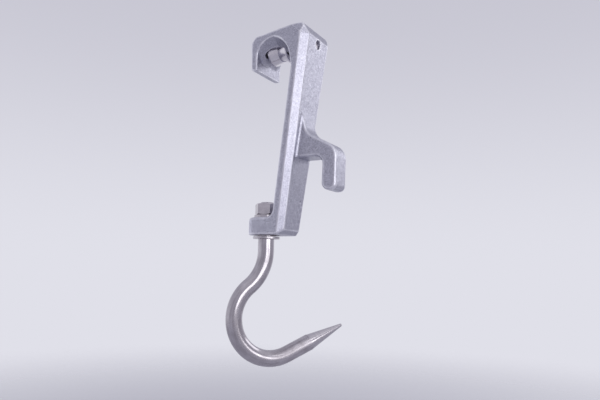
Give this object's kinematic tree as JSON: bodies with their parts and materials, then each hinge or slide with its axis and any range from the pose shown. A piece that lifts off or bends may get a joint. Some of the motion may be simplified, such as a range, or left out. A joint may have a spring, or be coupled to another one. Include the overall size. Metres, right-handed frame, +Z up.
{
  "type": "roller hook",
  "caption": "Overhead rail roller hook: cast aluminium frame on a waisted roller with ball bearings, a horn on the front, and a swivelling round-bar steel hook with a long pointed tip.",
  "frame": {"origin": "the seat: the lowest point of the roller's waist, which bears on the top of the rail tube", "axes": "+Z up, X along the rail, -Y towards the front with the horn"},
  "size_m": [0.1136, 0.1215, 0.3716],
  "materials": {
    "cast_aluminium": "as cast, tumbled to a fine matt satin",
    "bent_stainless_bar": "bent round bar, satin polished",
    "turned_stainless": "turned and milled, satin",
    "pressed_stainless": "pressed sheet, dull",
    "ground_stainless": "ground",
    "polished_stainless": "turned and polished",
    "bearing_steel": "ground bearing steel",
    "ball_steel": "polished balls",
    "spring_steel": "pressed spring steel",
    "cage_brass": "pressed sheet",
    "bronze": "turned bearing bronze",
    "seal_rubber": "moulded"
  },
  "bodies": {
    "frame": {"frame_casting": "cast_aluminium", "axle_pin": "ground_stainless", "bearing_spacer": "ground_stainless", "foot_bush": "bronze", "upper_washer": "pressed_stainless", "front_bearing_inner_ring": "bearing_steel", "front_side_spacer": "ground_stainless", "rear_bearing_inner_ring": "bearing_steel", "rear_side_spacer": "ground_stainless"},
    "roller_unit": {"roller": "polished_stainless", "front_bearing_outer_ring": "bearing_steel", "front_bearing_outer_seal": "seal_rubber", "front_bearing_inner_seal": "seal_rubber", "front_circlip": "spring_steel", "rear_bearing_outer_ring": "bearing_steel", "rear_bearing_outer_seal": "seal_rubber", "rear_bearing_inner_seal": "seal_rubber", "rear_circlip": "spring_steel"},
    "front_ball_set": {"front_bearing_balls": "ball_steel", "front_bearing_cage": "cage_brass"},
    "rear_ball_set": {"rear_bearing_balls": "ball_steel", "rear_bearing_cage": "cage_brass"},
    "hook_unit": {"swivel_hook": "bent_stainless_bar", "hook_nut": "turned_stainless", "lower_washer": "pressed_stainless"}
  },
  "joints": [
    {"name": "roller_spin", "type": "hinge", "parent": "frame", "child": "roller_unit", "pos_m": [0, 0, 0.012], "axis": [0, 1, 0], "continuous": true},
    {"name": "front_balls_spin", "type": "hinge", "parent": "frame", "child": "front_ball_set", "pos_m": [0, -0.0076, 0.012], "axis": [0, 1, 0], "continuous": true},
    {"name": "rear_balls_spin", "type": "hinge", "parent": "frame", "child": "rear_ball_set", "pos_m": [0, 0.0076, 0.012], "axis": [0, 1, 0], "continuous": true},
    {"name": "hook_swivel", "type": "hinge", "parent": "frame", "child": "hook_unit", "pos_m": [0, 0.016, -0.1985], "axis": [0, 0, 1], "continuous": true}
  ],
  "couplings": [
    {"joint": "front_balls_spin", "follows": "roller_spin", "ratio": 0.58621},
    {"joint": "rear_balls_spin", "follows": "roller_spin", "ratio": 0.58621}
  ]
}
